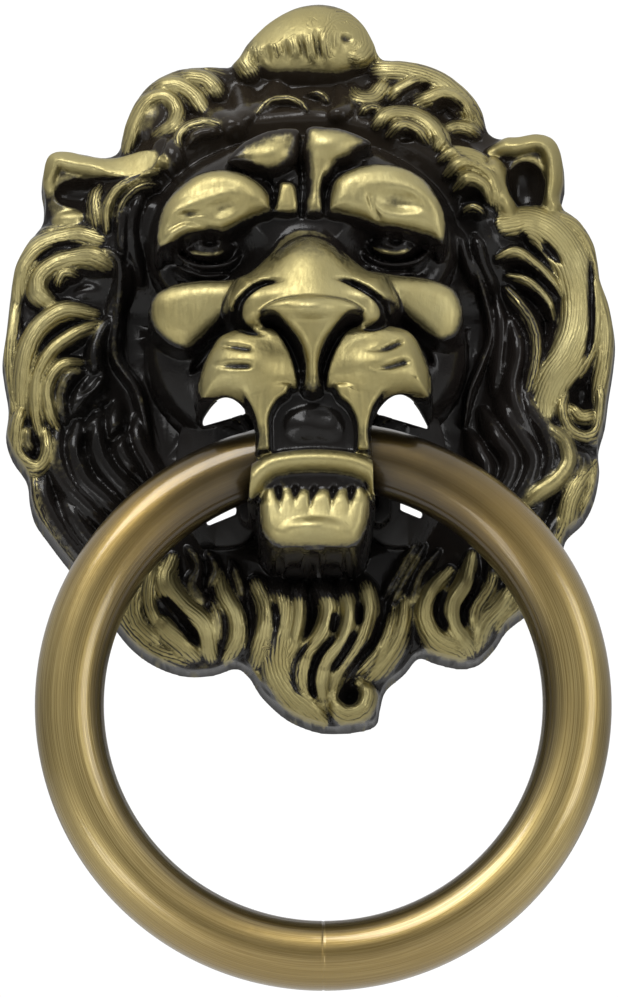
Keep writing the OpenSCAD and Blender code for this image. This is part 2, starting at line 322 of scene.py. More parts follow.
strand([13.6, 44.2, 16.4, 46.2, 19, 45.3, 20.8, 43.2], 1.2, 3.4, 0.75)
dent(16.8, 44, 1.8, 0.9, 1, 0)

# crown locks, left
mass(-28.2, 48.6, 4.6, 5.4, 10.9, 6, 0.5, 0.3, 0.6)
strand([-33.4, 43.6, -32.2, 48, -29.8, 52, -26.6, 53.2, -24.4, 50.8, -25, 47.4, -28, 46], 1.6, 4.1, 0.9, 0.15,
       0.15)
strand([-29.6, 47, -29, 49.4, -27.4, 49.6], 0.6, 3, 0.55)
strand([-28.4, 55, -24.6, 55.6, -21.3, 53.6, -19.2, 50.2], 1.8, 3.6, 0.85, 0.2)
strand([-23, 57.4, -19.2, 56.6, -16.4, 53.4], 1.7, 3.4, 0.75, 0.2)
strand([-32, 47, -31, 52, -27, 56, -20, 58.6, -15, 58], 1.9, 1.9, 0.35)
# crown locks, right
strand([7.2, 55, 8.6, 52.8, 11.4, 53.2, 13.6, 56.6], 1.7, 3.4, 0.75, 0.3, 0.3)
strand([12, 58.8, 17.6, 58.2, 22.8, 56.4, 27, 52.8, 29.8, 48.4], 2.2, 3, 0.75, 0.1, 0.2)
strand([13.6, 52.6, 16.6, 54.6, 19.6, 56.2], 1.6, 3.9, 0.85)
strand([17.8, 51.6, 21, 52.6, 24.2, 53.6, 27.2, 51.8, 29, 48.6], 1.7, 3.9, 0.95, 0.3)
strand([23.4, 46.4, 26.6, 47.6, 29.8, 46.8], 1.35, 3.5, 0.8)
groove([15.2, 52.2, 18.4, 54.5, 21.4, 55.6], 0.7, 1.4)
groove([21.8, 50.8, 24.3, 51.9, 27.2, 50.6], 0.9, 1.6)
# tuft
with ground(G + 1.4 * smooth(16, 4, np.hypot(X + 1, (Z - 66) * 1.2))):
    mass(-0.6, 63.5, 13, 8.6, 13.5, 5, 0.45, 0.95, 0.6)
    strand([-11.6, 62.5, -12.2, 60, -10.6, 57.4], 1.7, 3.4, 0.8)
    strand([-8.4, 67, -9.8, 63.5, -9.2, 59.6], 1.7, 3.8, 0.95, 0.3)
    strand([-5, 69, -6.4, 64.4, -5.4, 59], 1.6, 4.3, 1, 0.3)
    strand([-1.6, 70, -3.4, 65, -2.4, 58.4], 1.6, 4.6, 1, 0.3)
    strand([2.2, 70.2, -0.2, 66.4, -0.3, 62, 0.6, 57.6], 1.6, 4.6, 1, 0.3)
    strand([3.8, 57.6, 2.4, 60.6, 2.6, 64.6, 5.4, 67.6, 8.8, 66.6, 10, 63, 8.6, 60.4, 6.4, 60.6], 1.7, 4.6, 1,
           0.2, 0.1)
    strand([10.4, 67, 11.8, 63.4, 11.6, 60], 1.3, 2.8, 0.8)
    dent(6.2, 63.4, 1.4, 1.1, 1, 0.3)
    for points in (
            [-7.6, 65.4, -8.2, 62.4, -7.4, 59], [-4.2, 67.2, -5, 63.4, -4.2, 59],
            [-0.8, 68, -2, 63.6, -1, 58.8], [2.2, 68, 0.9, 64.6, 1.1, 61.6, 2, 58.6],
            [5.4, 66.2, 4.2, 63.6, 4.6, 60.6]):
        groove(points, 0.6, 0.6, 0.7, 0.2, tone=0.45)
    for points in (
            [-9.4, 64, -9.8, 61.6, -8.6, 58.8], [-6, 66.4, -6.6, 62.8, -5.8, 58.6],
            [-2.6, 68, -3.6, 63.6, -2.6, 58.8], [0.8, 68.6, -0.6, 65, -0.4, 61, 0.6, 58],
            [3.8, 68, 2.7, 65, 2.8, 61.6, 3.4, 59], [8.2, 65.4, 8.6, 63, 7.4, 61.4, 5.8, 62.4]):
        groove(points, 0.4, 0.3, 0.5, 0.2, tone=0.55)
stain(-2, 56.2, 14, 2, 0)

# left ear
mass(-42.5, 35.5, 6.5, 9, 9.4, 4, 0.35, 0.35, 0.5)
strand([-47, 36, -47, 40, -45.6, 41.8, -41, 40.6, -35, 39.8, -29.5, 40.2, -26, 38.8], 2.5, 4.4, 0.95, 0.2,
       0.2, full=1)
dent(-41.8, 35.4, 4.4, 2.7, 3.4, 0.06, power=0.6)
mass(-42.4, 30.4, 5.2, 2.6, 10.6, 5, 0.5, 0.9, 0.6)
strand([-38, 36.6, -39, 33, -38.4, 28.2], 1.3, 3.2, 0.7)
strand([-27.6, 37.2, -32, 36, -35.2, 33.6, -36.6, 30.4, -36.5, 27], 1.15, 4, 0.8, 0.2)
strand([-27.5, 35, -31.2, 33.8, -33.8, 31, -34.6, 27.4], 0.9, 3.3, 0.4, 0.2)
# right ear
mass(39.2, 37.5, 6.6, 9, 9.4, 4, 0.35, 0.5, 0.5)
strand([32.4, 43.2, 36.4, 44.4, 40.4, 45.2, 42.9, 43.6, 43.9, 39.5, 43.6, 35, 42.4, 30.8], 2.6, 4.4, 0.95,
       0.2, 0.2, full=1)
strand([32.6, 42, 33.6, 37.6, 34.6, 33.4, 36.4, 29.6], 2.4, 4.2, 0.95, 0.25, full=1)
dent(38.4, 36.6, 3.6, 4.8, 4.6, 0.04, power=0.6)
stain(38.2, 38.6, 2.2, 1.8, 0.35)
# arches between the right brow and its ear
strand([23, 39.8, 25.8, 41.4, 29.2, 41.5, 32, 40], 1.35, 3.7, 0.8)
strand([24, 37, 27.2, 39, 30.8, 38.4, 33, 35.6, 33.6, 31], 1.5, 4.4, 0.95, 0.25)
strand([25.4, 34.2, 28.2, 36, 31, 34.8, 32, 32], 1.3, 4.2, 0.95)
dent(28.6, 32.2, 2.2, 1.6, 1.6, 0.02)
strand([26.4, 29.8, 28.6, 30.6, 30.6, 29.6], 0.9, 3.4, 0.6)

# left mane
strand([-38, 25.6, -42, 27, -46, 26.6, -49.6, 24.8, -52.2, 21, -52.8, 16], 2, 3.6, 0.85, 0.25)
strand([-40, 29, -45, 28.8, -49, 28.4], 1.1, 2.6, 0.35)
groove([-41, 25.3, -45.5, 25.3, -49.5, 22.6], 0.5, 1)
strand([-52.6, 18, -53.6, 12, -54.2, 6, -54, 0, -53, -5, -52.4, -9], 1.6, 2.4, 0.7)
strand([-36, 21, -40.5, 22.8, -45, 22.4, -48.4, 20, -48.8, 16.8, -46.4, 15], 1.8, 4, 0.85, 0.2, 0.15)
strand([-41.5, 20, -44.2, 20.2, -45.6, 18], 1.1, 3.6, 0.7)
mass(-39.5, 17.4, 5, 2.4, 9.2, 5, 0.6, 0.08, 0.6, turn=8)
strand([-38.5, 13.2, -44, 13.4, -48.4, 10.6, -50.8, 6, -51.6, 0, -51.4, -6], 1.8, 3.8, 0.9, 0.25)
strand([-36.8, 11.6, -42, 9.2, -46.4, 5.8, -48.9, 1, -49.1, -4.5, -48.2, -9.5], 1.4, 3.8, 0.85, 0.25)
strand([-41, 4.2, -44.8, 3, -47, -0.6, -46.6, -4.8, -45.2, -7.8], 1.35, 3.9, 0.85, 0.2)
strand([-39.6, 2.6, -43, 1.6, -44.6, -2, -43.8, -6.5], 1.1, 3, 0.2)
strand([-51.6, -4, -52.6, -8, -52.6, -12, -50.6, -14.4, -48.2, -14.8, -46.8, -12, -47.4, -8], 1.35, 3.5, 0.8,
       0.1, 0.2)
strand([-50.4, -7, -50.6, -10, -49.6, -12], 0.9, 2.8, 0.3)
strand([-49.4, -16.5, -48.8, -21, -46.6, -26, -43.4, -30.6, -39, -36], 1.8, 2.8, 0.4, 0.1)

# right mane
strand([40.5, 31, 45, 30.4, 48.8, 27.4, 50.8, 22, 51.8, 16, 52.9, 10, 52.4, 4, 51.4, -1, 51.2, -5], 1.9, 3.4,
       0.85, 0.15)
strand([35, 28.6, 39.6, 29.6, 43.8, 27, 46.8, 22, 48.3, 16, 47.9, 10, 46, 5, 43.4, 1.4, 41.6, -2.6, 41.2, -7],
       3.3, 4.6, 1, 0.2, 0.35, sharp=0.6)
groove([37, 27.6, 38.6, 25.6], 0.7, 1.3, 0.5, 0.5)
groove([40.6, 26.4, 43, 23.6, 44.9, 21.3], 0.8, 1.6, 0.4, 0.4)
strand([33.2, 22.4, 36.6, 23.4, 40, 21.4, 43, 18, 45, 15], 1.3, 4.4, 0.8)
groove([34, 21, 38, 21.2, 42, 17.8, 44.6, 15.2], 0.65, 1.8)
strand([35, 19.8, 38.6, 18.6, 41.6, 15.6, 43.2, 12], 1.1, 3.8, 0.75)
groove([36, 17.6, 39.4, 16, 41.8, 12.6, 41.4, 8], 0.8, 2)
strand([34.8, 17.6, 37, 14.6, 39.2, 11, 40, 7, 39.4, 2, 38, -2.5], 1.2, 3.4, 0.45, 0.2)
groove([49.9, 24, 49.9, 16, 49.8, 9, 48.4, 3.4], 0.7, 1.8)
strand([45.4, -1, 44.6, -4.6, 45.8, -8, 48.6, -9.4, 51, -7.8, 51.6, -3, 51.4, 2], 1.2, 3.2, 0.6, 0.2, 0.2)
strand([46, -3.6, 48, -5.8, 50.2, -5.2], 1.3, 3.4, 0.85)
dent(48, -1.6, 1.9, 3, 1.8, 0)
strand([40.9, -4, 42, -7.6, 44.8, -10.4, 45.6, -14, 43.4, -17.4, 39.6, -20, 36, -23], 1.7, 3.6, 0.3,
       tone_end=0.75)
strand([50.4, -13.5, 47.8, -17, 45.8, -21, 44.6, -26, 42.4, -30], 1.7, 3.2, 0.75)
strand([50.8, -14, 50.2, -19, 48, -23.4], 1.4, 2.6, 0.65)
strand([46.8, -11, 48.2, -14, 46.4, -17.6], 1.3, 2.6, 0.15)

# beard
strand([-27, -30.5, -28.4, -35, -28.6, -40, -26.4, -45], 1.25, 3.2, 0.7, 0.3)
strand([-30, -35.5, -31.4, -39.6, -30.4, -43.4, -26, -47.4], 1.4, 2.9, 0.7, 0.3)
strand([-33.2, -38, -33, -42, -28, -47.4, -22, -49.6], 1.4, 2.3, 0.6, 0.2)
strand([-24.6, -31.5, -25.6, -36, -23, -40, -19, -43.8, -17.8, -48.4], 2.2, 4, 0.9, 0.3)
strand([-28, -41.6, -25, -44.8, -20.4, -48.6], 1.8, 3.6, 0.9)
groove([-26.8, -38.6, -23.4, -42.2, -20, -47.2], 1.1, 2.2)
strand([-19.6, -33, -21, -36.5, -18.6, -40.4], 1.2, 3, 0.25)
strand([-16.2, -33.6, -15.4, -38, -13.4, -42, -13.2, -46, -15, -49], 1.7, 3.8, 0.85, 0.35)
strand([-18, -38.5, -16.6, -42.4, -16.4, -46.8], 1, 3.2, 0.5)
# wisps under the jaw
for points in (
        [18.6, -28.6, 15.8, -33.5, 12.8, -38.5], [20, -29, 17, -34.5, 14, -40],
        [22.5, -30, 19, -35, 17.4, -41], [-22, -29.5, -20, -32.5, -20.8, -36],
        [-18.4, -30.2, -17, -33.5, -18.4, -37], [-14, -32, -13, -35.5, -12, -39]):
    strand(points, 0.9, 3.2, 0.28)
strand([-9.8, -35.6, -8.2, -40.2, -8.2, -45, -9.6, -50], 1.75, 4, 0.85, 0.12)
strand([-6, -36.2, -5, -41.6, -5.9, -47, -6, -51.4, -3.4, -56, 1.4, -60], 2, 4.3, 0.95, 0.08, 0.1)
strand([-2.6, -36.4, -2.2, -42, -3.2, -47.4, -5, -51], 1.4, 4.3, 0.9, 0.12)
strand([1.2, -36.2, 3, -41.4, 1.7, -46, -1.3, -50, -1.9, -54.4, 0.4, -58.4], 1.8, 4.5, 0.95, 0.1)
strand([5.2, -36.2, 6.7, -41.6, 5.5, -46.6, 2.7, -50.4, 1.6, -54.4, 2.4, -58.6], 1.7, 4.5, 0.92, 0.1)
strand([9, -35.6, 10.2, -40.6, 9, -46, 6.6, -50, 4.6, -53, 3.6, -56], 1.7, 4.2, 0.9, 0.12)
strand([3.9, -54.5, 3.9, -57.4, 6, -59.3, 8.9, -58.4, 9.9, -55.6, 8.2, -53.6], 1.4, 4, 0.9, end=0.2)
strand([14.6, -40, 13.6, -44.6, 11.6, -48.8, 8, -52.4], 1.3, 3.6, 0.75)
strand([16.6, -36.5, 16.4, -41.6, 15.2, -46.2, 12.4, -50.6, 9.4, -53.4], 1.5, 3.4, 0.8)
dent(6.6, -55.6, 1.4, 1.3, 2, 0)
for points in (
        [-6.9, -39.5, -6.2, -43, -6.8, -47.5, -8.2, -51], [0.1, -46.8, -2.6, -50.4, -3.2, -54.4, -1.6, -57],
        [4.7, -45.8, 1.4, -49.6, -0.1, -54, 0.9, -57.4], [8, -44.8, 6, -49, 3.4, -52.6],
        [4.2, -42, 3.6, -45.4], [8.4, -40, 8.3, -44], [12, -42, 11, -46.4, 7.6, -51, 5.4, -54]):
    groove(points, 0.7, 1.7, 0.25, 0.2)
strand([24.4, -33.6, 21.4, -37.6, 20.2, -42, 22.2, -46, 26.4, -48], 2, 4.2, 0.9, 0.35, 0.15)
strand([28.4, -30.8, 27.2, -36, 24.9, -40, 25.2, -44, 27.8, -47.4], 1.9, 4.2, 0.95, 0.35, 0.15)
strand([32.6, -33, 31.2, -37, 28.8, -41, 28.9, -45.4], 1.3, 3.4, 0.7)
strand([36, -35.4, 33.4, -39.6, 30.4, -43, 29, -47.2], 1.6, 3, 0.75)
strand([39.8, -36, 36.4, -40, 32.4, -44], 1.5, 2.3, 0.6)
groove([23.4, -37.4, 22.2, -41, 23.8, -44.6], 0.9, 1.6)
groove([29.4, -33, 28.8, -37.4, 26.8, -41, 27, -44.4], 0.6, 1.6)

# the face, from the back forward

# skull under everything
mass(-1.8, 25.2, 28, 19.4, 26.6, 8, 0.3, 0.06, 4)
mass(-1, 6, 28.8, 22, 22.5, 6, 0.3, 0.02, 1.5)
# snout
mass(0, 2, 20.5, 17, 30, 4, 0.3, 0.04, 2)
# the shallow bowls the eyes sit in
for cx in (-18.2, 14.6):
    dent(cx, 20.6, 11, 6.6, 6, 0, power=1.3)

# forehead: two lobes, the right one running down between the brows
block([-15, 36.2, -12.8, 39.4, -8.6, 41.8, -4.4, 42.6, -1.9, 42, -1.9, 38.6, -3, 36.2, -6.6, 34, -10.8, 34.4],
      28.6, 26.4, 3.4, 0.5, 1, soft=3)
block([-1.2, 42.2, 2.4, 42.8, 6.6, 42, 10.8, 39.6, 7.2, 37.4, 4.9, 35.8, 3.5, 33.6, 2.5, 31.2, 2.4, 26.6,
       -1.4, 26.6, -0.9, 32, -1.2, 36.6], 29, 26.4, 2.6, 0.7, 1, soft=2)
mass(-7.4, 37.2, 5.6, 3.4, 29.5, 24, 0.6, 0.75, 2, turn=12, edge=0.5)
mass(3, 38.8, 5.8, 3.6, 29.9, 24, 0.6, 0.85, 2, edge=0.5)
block([-5.6, 32.6, -3, 32.4, -2.1, 30, -2.2, 26.6, -6.8, 26.6, -6.4, 30.4], 29, 26, 1.6, 0.85, 0.6, soft=1.4)
groove([-1.6, 42, -1.8, 37, -1.6, 33, -1.8, 29, -1.8, 26.6], 0.6, 1.8, 0.05, 0.05)

# brows
block([-27.4, 19.8, -27.4, 24.5, -26.2, 28.5, -23.5, 31.8, -20, 34.2, -15.5, 35, -11, 33.9, -7.8, 31.4,
       -6.4, 28.6, -6.8, 26.3, -10, 25.2, -13, 23.9, -15.5, 22.8, -19, 23.2, -23, 22.6, -25.8, 20.6], 30.6,
      25.4, 3.6, 1, 0.8, soft=1.8, tilt=(0, 0.08, 0))
block([2.4, 26.6, 2.8, 30.5, 4, 33.2, 7, 35.1, 11, 36, 15.5, 35.6, 19.5, 33.6, 22.4, 29.9, 23.8, 25.5,
       23.2, 20.8, 20.6, 22, 17, 23, 12.5, 23.6, 9, 24.8, 5.5, 25.6], 30.8, 25.4, 3.6, 1, 0.8, soft=1.8,
      tilt=(0, -0.06, 0))
with ground(29.4):
    # the rolled ridge along each brow, and the hollows behind it
    strand([-26.4, 22.4, -23.8, 26, -19.6, 28.2, -14.6, 29.4, -12.4, 28.6, -9.6, 28.8, -7.6, 28], 2.4, 3.8, 1,
           0.3, 0.4, k=1.2, full=1)
    strand([-26.4, 21, -22.4, 23.6, -18, 24], 1.5, 3.4, 0.95, 0.3, 0.5, k=0.8, full=1)
    strand([4.4, 27.2, 7.4, 28.8, 9.4, 31, 13, 31.4, 18, 30.2, 21.4, 26.6, 22.6, 22.6], 2.3, 3.8, 1, 0.3, 0.3,
           k=1.2, full=1)
groove([-24.4, 25.3, -21.6, 26, -17.6, 25.9], 0.6, 0.9, 0.4, 0.6, tone=0.3)
dent(-15.2, 27, 4.8, 2.4, 1.1, 0.6, power=1.8, turn=22)
dent(15, 28, 5.4, 2.6, 1.4, 0.62, power=1.8, turn=-8)
groove([9.9, 29.8, 10.6, 27.4, 12, 25], 0.6, 0.8, tone=0.6)
groove([2.6, 34.4, 2.4, 31, 2.6, 27], 0.7, 1.2, 0.3, 0.1)
groove([-14.6, 36.2, -10.6, 34.9, -8, 33.6, -6.6, 30.8, -7, 27.2], 0.7, 1.2, 0.3, 0.1)

# eyes: ball, lids and the folds under them
for cx, cz in ((-18.2, 22.6), (14.6, 22.9)):
    mass(cx, cz - 0.4, 5.2, 3.2, 25, 16, 0.5, 0.03, 0.5)
    with ground(22.8):
        strand([cx - 5.0, cz + 0.4, cx - 2.6, cz - 1.8, cx + 1.2, cz - 2.2, cx + 4.8, cz + 0.2], 0.9, 3.6,
               0.8, 0.4, 0.4, full=1)
        strand([cx - 6.2, cz - 1.2, cx - 2.2, cz - 4.0, cx + 3.2, cz - 3.8, cx + 6.6, cz - 0.8], 0.8, 2.6,
               0.2, 0.3, 0.3, full=1)
        strand([cx - 5.6, cz - 3.6, cx - 1.0, cz - 5.8, cx + 3.6, cz - 5.3], 0.8, 1.9, 0.14, 0.3, 0.3,
               full=1)
        strand([cx - 4.8, cz + 1.0, cx - 2.0, cz + 2.0, cx + 1.8, cz + 2.1, cx + 5, cz + 1.2], 0.8, 3.8, 0.45,
               0.3, 0.3, full=1)
    dent(cx + 0.2, cz - 0.1, 1.4, 1.1, 2, 0)
stain(-17.4, 17.2, 12, 3.6, 0)
stain(14.4, 17.4, 13, 3.6, 0)

# cheeks
block([-28.8, 10.4, -27.6, 13.2, -24, 15, -19, 15.6, -14.8, 15.6, -10, 16.6, -9.4, 11.6, -13, 8.8, -17, 5.8,
       -22, 2.6, -25.8, 4.2, -28.2, 7.2], 27.8, 23, 4, 1, 1, soft=2.2, tilt=(0, 0.22, 0.10))
block([26.8, 10.8, 25, 14.2, 20.5, 16, 15, 16.5, 9.8, 17, 9.4, 12, 13, 10, 17, 7.4, 22.2, 4.2, 25.4, 5.2,
       26.8, 8], 27.8, 23, 4, 1, 1, soft=2.2, tilt=(0, -0.22, 0.10))

# bridge of the nose: a triangle that widens downward, flat on top
block([-4.4, 24.6, -1.2, 25.8, 2.4, 24.8, 6, 20.4, 10, 16.8, 14, 14.8, 13.4, 6.6, -13.4, 6.6, -14.2, 14,
       -11, 16.4, -7.6, 20], 34.6, 24.5, 5, 1, 1.6, soft=0.8, tilt=(0, 0, -0.72))
mass(-0.4, 10.5, 8.8, 12, 37.4, 22, 0.33, 1, 4)
# the upper bridge's brass is toned down: painted shade that dims its highlight
stain(0, 19, 7.5, 7, 0.42, soft=0.8, strength=0.85)
# wings
mass(-9.4, 7.4, 4.2, 4.6, 37, 26, 0.4, 1, 2.5, turn=-25)
mass(9.4, 7.6, 4.2, 4.6, 37, 26, 0.4, 1, 2.5, turn=25)

# muzzle: both pads as one swelling, parted afterwards by the philtrum
block([-15.5, 4.4, -17.8, 1.8, -19.5, -2, -20.2, -6, -19, -9, -15, -8.6, -12, -9.8, -10, -10.8, -6.5, -8.9,
       -3.2, -8, 0, -8.4, 3, -7.8, 6.5, -8.9, 10.5, -10.6, 12.4, -9, 16, -7.8, 20.6, -8, 21.1, -3.5, 20, 0.6,
       17.8, 4.4, 14.5, 5.8, 9, 6.4, -9, 6], 36.2, 27, 4, 1, 1, soft=0.5)
mass(-10.4, -3, 9, 6.8, 38.6, 26, 0.6, 1, 4)
mass(11, -2.8, 9.2, 7, 38.6, 26, 0.6, 1, 4)

# tip of the nose, running down into the philtrum
block([-9.4, 6.6, -5, 9, 5, 9, 9.4, 6.8, 6.4, 4.8, 3.4, 1.6, 1.9, -2, 1.7, -7.4, -1.5, -7.4, -1.6, -2,
       -3.1, 1.6, -6.2, 4.6], 39.8, 34, 2, 1, 0.6, tilt=(0, 0, 0.2))
mass(0, 6.9, 9.4, 3, 41, 28, 0.35, 1, 3.5)
mass(0, 6.2, 6.4, 2.6, 42.2, 32, 0.5, 1, 2)
# creases over the wings, and the folds between the cheeks and the muzzle
groove([-5, 12.4, -8.4, 12.2, -11, 10.4, -12.9, 8, -12.5, 5, -10.4, 3.4, -8, 2.8], 0.85, 2.6, 0.25, 0.25)
groove([3.8, 12.8, 6.6, 12.4, 9.6, 10.6, 12.4, 8.2, 12.6, 5.6, 10.8, 4.2, 8, 3.8], 0.85, 2.6, 0.25, 0.25)
groove([-12.4, 7.4, -16, 5.2, -19, 2.6, -21.4, 0], 1.1, 2.4, 0.2, 0.2)
groove([12.2, 9.2, 15.4, 7.9, 18.7, 5.2, 21.4, 1.6], 1.1, 2.4, 0.2, 0.2)
# nostrils and the sides of the philtrum
groove([-9.2, 5.6, -6.8, 5.2, -5, 3.4, -3.4, 0.6, -2.3, -2.4, -2, -5.2, -2.4, -7.4], 0.85, 3.8, 0.15, 0.3)
groove([9, 5.7, 6.8, 5.2, 5, 3.4, 3.4, 0.6, 2.3, -2.4, 2, -5.2, 2.4, -7.4], 0.85, 3.8, 0.15, 0.3)
stain(0.1, -7.4, 2.4, 3.6, 0.3, strength=0.8)
# whisker grooves
for points in (
        [-17.6, 1.7, -14, 0.6, -10.4, -0.3], [-18.3, -2.2, -14.6, -3, -10.4, -3.4],
        [8.6, -0.3, 12.4, -0.2, 15.8, 1.7], [8.6, -3.4, 12.6, -3.6, 16.8, -2]):
    groove(points, 0.75, 1.1, 0.7, 0.1, tone=0.12)

# mouth: web, pillars, lower lip, chin
block([-8.4, -6, 8.6, -6, 8.8, -18.6, -8.2, -18.6], 33, 12, 1, 0, 0.2)
mass(-1.2, -12.6, 4.6, 3.6, 34.4, 31, 0.8, 0, 1.6)
mass(2.6, -13.2, 3.6, 3, 34, 31, 0.8, 0, 1.6)
with ground(33.4):
    strand([-4.6, -15.6, -3.4, -11.6, 0.4, -10, 4, -11.4, 5.2, -15.6], 1.3, 2.2, 0.02, k=1.4, full=1)
block([-14, -6, -12.4, -8.6, -10.9, -11.5, -10.2, -15, -10.2, -18.4, -6.6, -18.4, -6.3, -15, -6.4, -12,
       -5.2, -9.5, -3.4, -8, -3.6, -5], 36.8, 20, 1.5, 1, 1.2, soft=0.4)
block([14.6, -6, 12.8, -8.4, 11.3, -11, 10.8, -14.5, 10.8, -18.4, 7.2, -18.4, 6.9, -15, 6.7, -12.5,
       5.6, -10.2, 3.8, -8.4, 3.6, -5], 36.8, 20, 1.5, 1, 1.2, soft=0.4)
block([-9.4, -18, 0, -17.6, 10, -18, 11.2, -21.6, 10.6, -25, 10.2, -29, 9.6, -32, 8, -34.4, 4, -34.9,
       -4, -34.9, -7, -34.2, -9, -32, -9.4, -28.5, -9.8, -25, -10.4, -21.6], 34.4, 10, 2.2, 0.25, 0.4)
block([-9.2, -26, -5.5, -24.2, 0, -23.6, 6.5, -24.2, 10.2, -25.6, 10.4, -28.5, 9.8, -31.5, 8, -34.2, 4, -34.9,
       -1.5, -35, -6.5, -34.4, -8.8, -32, -9.4, -28.5], 36, 30, 2.6, 1, 0.8, tilt=(0, 0, -0.12))
mass(0.5, -31.4, 8, 3, 37.6, 28, 0.7, 1, 3)
with ground(34.4):
    strand([-10.8, -24.6, -9.6, -22.4, -7.2, -20.4, -4, -19.6, 0.5, -19.3, 5.2, -19.6, 8.4, -20.4,
            10.8, -21.8, 12, -24.2], 2.6, 5.2, 1, 0.08, 0.08, k=0.6, full=1)
    mass(-10.6, -24.8, 1.8, 1.8, 36, 26, 0.5, 0.5, 0.5)
    mass(11.6, -24.6, 1.9, 1.9, 36, 26, 0.5, 0.5, 0.5)
    for x0, x1, z1 in (
            (-7.4, -6.8, -29.6), (-4.3, -4, -29.2), (-1.2, -2, -29.8), (2.3, 1.6, -29.8), (5.5, 4.9, -29.8),
            (8.6, 8, -29.6)):
        strand([x0, -24.2, (x0 + x1) / 2, -26.4, x1, z1], 1.9, 3, 1, 0.3, 0.9, k=1.2, full=1)
    for x0, x1, z1 in (
            (-5.9, -5.3, -29.4), (-2.8, -3.1, -28), (0.6, -0.8, -30), (3.9, 3.1, -29.6), (7, 6.3, -29.6)):
        groove([x0, -23.6, (x0 + x1) / 2, -26, x1, z1], 0.6, 1.1, 0.1, 0.8, tone=0.15)
# black under the chin: lacquer in the recess, and painted shade
stain(0, -37.6, 10, 3, 0)
for cx in (-8.6, 9.2):
    stain(cx, -15.5, 2.4, 4, 0.45)
# the wear fades, it has no hard edge
T[:] = 0.6 * T + 0.4 * blur(T, 0.8)

# the volume: the painted front, the edge at the door, the hollow, the mouth and the bosses
CELL = 0.4                                      # of the volume, two by two cells of the painting
SPAN = 1.6                                      # how far from the surface the volume knows its distance
WALL, RIM = 2.8, 3.0                            # behind the front, and along the edge
DRAFT = 0.09                                    # how much the edge leans in, as a share of the height
RING_X, RING_H, RING_Z = 2.0, 24.0, -16.0       # the bar's centre in the mouth
BAR_R, RING_R = 6.0, 44.0
TUNNEL_R, SADDLE_R = 8.2, 6.45                  # around the bar
ARM_FLOOR = 16.6                                # the ring's arms lie in front of this height
BOSS_R, HOLE_R, HOLE_TOP, BOSS_SKIN = 6.0, 2.5, 9.0, 1.2
MESH_FACES = 190000

# the locks round off at the edge
H[:] = np.minimum(H, np.where(EDGE < 9, 6.4 + 5.4 * np.sqrt(np.clip(EDGE / 4.2, 0, None)), 99))
RECESS = np.clip((blur(H, 1.2) - H) / 1.4, 0, 1) * 0.7 + np.clip((blur(H, 3.2) - H) / 3.5, 0, 1) * 0.5


def halve(a):
    """Average each two by two cells of the painting into one cell of the volume."""
    n, m = a.shape[0] // 2 * 2, a.shape[1] // 2 * 2
    return a[:n, :m].reshape(n // 2, 2, m // 2, 2).mean((1, 3))


def eroded(a, r):
    """The lowest value within about r mm."""
    n = int(round(r / CELL))
    for _ in range(n):
        p = np.pad(a, 1, mode="edge")
        a = np.minimum.reduce([p[1:-1, 1:-1], p[:-2, 1:-1], p[2:, 1:-1], p[1:-1, :-2], p[1:-1, 2:]])
    return a


def softened(a, r):
    """Averaged over about r mm, on the volume's cells."""
    k = int(round(r / CELL))
    w = np.hanning(2 * k + 3)[1:-1]
    w = w / w.sum()
    for ax in (0, 1):
        a = np.apply_along_axis(lambda v: np.convolve(np.pad(v, k, mode="edge"), w, "valid"), ax, a)
    return a


